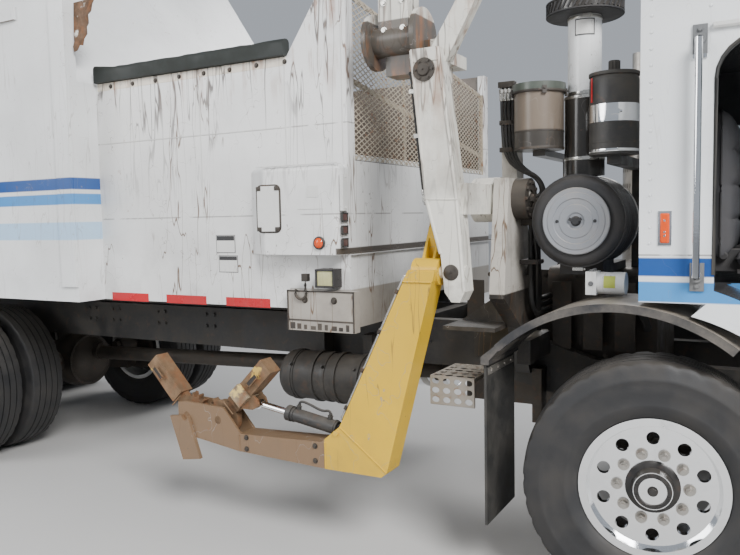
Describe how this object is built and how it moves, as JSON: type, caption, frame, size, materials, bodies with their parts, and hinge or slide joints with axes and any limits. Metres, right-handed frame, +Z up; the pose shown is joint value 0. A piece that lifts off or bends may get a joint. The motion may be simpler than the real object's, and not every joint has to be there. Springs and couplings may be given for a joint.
{
  "type": "side loading garbage truck",
  "caption": "Side loading garbage truck with a low cab, a side arm with a bin gripper, a packer hopper and a tipping body with a rear gate.",
  "frame": {"origin": "on the ground under the middle of the overall length, on the centreline", "axes": "+X towards the front of the truck, +Y to its left side, +Z up"},
  "size_m": [9.8, 2.9, 3.855],
  "materials": {
    "white_paint": "scuffed gloss white paint",
    "white_body_paint": "scuffed white paint with rust stains",
    "cab_paint": "white paint with blue stripes",
    "yellow_paint": "worn yellow paint",
    "chassis_black": "dusty black frame paint",
    "dark_steel": "greasy dark iron",
    "polished_alloy": "polished alloy",
    "bare_steel": "bare worked steel",
    "chrome": "chrome plate",
    "black_plastic": "matte black plastic",
    "grey_plastic": "grained grey plastic",
    "tyre_rubber": "dusty tyre rubber",
    "black_rubber": "weathered rubber",
    "window_glass": "tinted safety glass",
    "lamp_orange": "orange lens plastic",
    "lamp_red": "red lens plastic",
    "lamp_clear": "clear lens plastic",
    "seat_cloth": "dark woven seat cloth",
    "tan_paint": "faded tan paint"
  },
  "bodies": {
    "chassis": {"frame_rails": "chassis_black", "front_axle_beam": "dark_steel", "suspension": "dark_steel", "rear_axles": "dark_steel", "engine_block": "dark_steel", "fuel_tank": "polished_alloy", "air_tank": "chassis_black", "front_bumper": "white_paint", "cab_shell": "cab_paint", "cab_glass": "window_glass", "dashboard": "grey_plastic", "seats": "seat_cloth", "mirrors": "black_plastic", "grab_handles": "chrome", "headlamps": "lamp_clear", "fenders": "black_plastic", "mudflaps": "black_rubber", "side_step": "bare_steel", "air_cleaner": "black_plastic", "intake_stack": "white_paint", "oil_canister": "chassis_black", "fluid_canister": "tan_paint", "fuel_filter": "white_paint", "exhaust_stack": "bare_steel", "arm_mast": "white_paint", "rotary_actuator": "dark_steel", "arm_hoses": "black_rubber"},
    "knuckle_right": {"knuckle_right": "dark_steel"},
    "knuckle_left": {"knuckle_left": "dark_steel"},
    "front_wheel_right": {"front_tyre_right": "tyre_rubber", "front_rim_right": "polished_alloy"},
    "front_wheel_left": {"front_tyre_left": "tyre_rubber", "front_rim_left": "polished_alloy"},
    "rear_wheels_fore_right": {"rear_wheels_fore_right": "tyre_rubber"},
    "rear_wheels_fore_left": {"rear_wheels_fore_left": "tyre_rubber"},
    "rear_wheels_aft_right": {"rear_wheels_aft_right": "tyre_rubber"},
    "rear_wheels_aft_left": {"rear_wheels_aft_left": "tyre_rubber"},
    "door_left": {"door_left": "cab_paint"},
    "door_right_front": {"door_right_front": "cab_paint"},
    "door_right_rear": {"door_right_rear": "cab_paint"},
    "lift_arm": {"lift_arm": "white_paint"},
    "boom": {"boom": "yellow_paint"},
    "finger_front": {"finger_front": "yellow_paint"},
    "finger_rear": {"finger_rear": "yellow_paint"},
    "grip_barrel": {"grip_barrel": "chassis_black"},
    "grip_rod": {"grip_rod": "chrome"},
    "reach_barrel": {"reach_barrel": "chassis_black"},
    "reach_rod": {"reach_rod": "chrome"},
    "body": {"body_sills": "chassis_black", "hopper_shell": "white_body_paint", "body_shell": "white_body_paint", "sill_flap": "black_rubber", "mesh_guard": "bare_steel", "side_housing": "white_body_paint", "side_lamps": "lamp_orange"},
    "packer_ram": {"packer_ram": "bare_steel"},
    "tailgate": {"tailgate": "white_body_paint", "tail_lamps": "lamp_red"},
    "hoist_barrels": {"hoist_barrels": "chassis_black"},
    "hoist_rods": {"hoist_rods": "chrome"}
  },
  "joints": [
    {"name": "steering", "type": "hinge", "parent": "chassis", "child": "knuckle_right", "pos_m": [3.12, -0.85, 0.538], "axis": [0, 0, 1], "range_deg": [-43.7, 26.3]},
    {"name": "steering_left", "type": "hinge", "parent": "chassis", "child": "knuckle_left", "pos_m": [3.12, 0.85, 0.538], "axis": [0, 0, 1], "range_deg": [-43.7, 26.3]},
    {"name": "front_wheel_right_spin", "type": "hinge", "parent": "knuckle_right", "child": "front_wheel_right", "pos_m": [3.1428, -0.9993, 0.538], "axis": [0.1513, -0.9885, 0], "continuous": true},
    {"name": "front_wheel_left_spin", "type": "hinge", "parent": "knuckle_left", "child": "front_wheel_left", "pos_m": [3.0972, 0.9993, 0.538], "axis": [-0.1513, 0.9885, 0], "continuous": true},
    {"name": "rear_wheels_fore_right_spin", "type": "hinge", "parent": "chassis", "child": "rear_wheels_fore_right", "pos_m": [-1.633, -0.902, 0.538], "axis": [0, 1, 0], "continuous": true},
    {"name": "rear_wheels_fore_left_spin", "type": "hinge", "parent": "chassis", "child": "rear_wheels_fore_left", "pos_m": [-1.633, 0.902, 0.538], "axis": [0, 1, 0], "continuous": true},
    {"name": "rear_wheels_aft_right_spin", "type": "hinge", "parent": "chassis", "child": "rear_wheels_aft_right", "pos_m": [-3.005, -0.902, 0.538], "axis": [0, 1, 0], "continuous": true},
    {"name": "rear_wheels_aft_left_spin", "type": "hinge", "parent": "chassis", "child": "rear_wheels_aft_left", "pos_m": [-3.005, 0.902, 0.538], "axis": [0, 1, 0], "continuous": true},
    {"name": "left_door", "type": "hinge", "parent": "chassis", "child": "door_left", "pos_m": [4.246, 1.21, 1.4], "axis": [0, 0, -1], "range_deg": [0, 75]},
    {"name": "right_door", "type": "hinge", "parent": "chassis", "child": "door_right_front", "pos_m": [4.222, -1.168, 1.4], "axis": [0, 0, 1], "range_deg": [0, 90]},
    {"name": "right_door_fold", "type": "hinge", "parent": "door_right_front", "child": "door_right_rear", "pos_m": [4.196, -0.7635, 1.4], "axis": [0, 0, 1], "range_deg": [-180, 0]},
    {"name": "arm_lift", "type": "hinge", "parent": "chassis", "child": "lift_arm", "pos_m": [2.32, -0.76, 1.76], "axis": [1, 0, 0], "range_deg": [-140, 0]},
    {"name": "boom_reach", "type": "hinge", "parent": "lift_arm", "child": "boom", "pos_m": [2.194, -1.2, 1.433], "axis": [1, 0, 0], "range_deg": [-55, 0]},
    {"name": "reach_barrel_swing", "type": "hinge", "parent": "lift_arm", "child": "reach_barrel", "pos_m": [2.195, -1.06, 2.33], "axis": [1, 0, 0], "range_deg": [0, 11.6]},
    {"name": "reach_rod_slide", "type": "slide", "parent": "reach_barrel", "child": "reach_rod", "axis": [0, -0.0379, -0.9993], "range_m": [0, 0.193]},
    {"name": "finger_front_grip", "type": "hinge", "parent": "boom", "child": "finger_front", "pos_m": [0.98, -1.22, 0.62], "axis": [0, 1, 0], "range_deg": [-35, 0]},
    {"name": "finger_rear_grip", "type": "hinge", "parent": "boom", "child": "finger_rear", "pos_m": [0.76, -1.22, 0.62], "axis": [0, 1, 0], "range_deg": [0, 35]},
    {"name": "grip_barrel_swing", "type": "hinge", "parent": "boom", "child": "grip_barrel", "pos_m": [1.725, -1.22, 0.64], "axis": [0, 1, 0], "range_deg": [0, 9.9]},
    {"name": "grip_rod_slide", "type": "slide", "parent": "grip_barrel", "child": "grip_rod", "axis": [-0.9879, 0, 0.155], "range_m": [0, 0.12]},
    {"name": "body_tilt", "type": "hinge", "parent": "chassis", "child": "body", "pos_m": [-4.14, 0, 1.143], "axis": [0, -1, 0], "range_deg": [0, 45]},
    {"name": "hoist_barrel_swing", "type": "hinge", "parent": "chassis", "child": "hoist_barrels", "pos_m": [-3.68, 0, 0.6], "axis": [0, -1, 0], "range_deg": [0, 43.3]},
    {"name": "hoist_rod_slide", "type": "slide", "parent": "hoist_barrels", "child": "hoist_rods", "axis": [0.9105, 0, 0.4135], "range_m": [0, 0.545]},
    {"name": "tailgate_lift", "type": "hinge", "parent": "body", "child": "tailgate", "pos_m": [-4.21, 0, 3.815], "axis": [0, 1, 0], "range_deg": [0, 80]},
    {"name": "packer_slide", "type": "slide", "parent": "body", "child": "packer_ram", "axis": [-1, 0, 0], "range_m": [0, 1.25]}
  ],
  "couplings": [
    {"joint": "steering_left", "follows": "steering", "ratio": 1},
    {"joint": "right_door_fold", "follows": "right_door", "ratio": -2},
    {"joint": "finger_rear_grip", "follows": "finger_front_grip", "ratio": -1},
    {"joint": "grip_barrel_swing", "follows": "finger_front_grip", "ratio": -0.28},
    {"joint": "grip_rod_slide", "follows": "finger_front_grip", "m_per_rad": -0.1948},
    {"joint": "reach_barrel_swing", "follows": "boom_reach", "ratio": -0.21},
    {"joint": "reach_rod_slide", "follows": "boom_reach", "m_per_rad": -0.2005},
    {"joint": "hoist_barrel_swing", "follows": "body_tilt", "ratio": 0.96},
    {"joint": "hoist_rod_slide", "follows": "body_tilt", "m_per_rad": 0.6875}
  ]
}
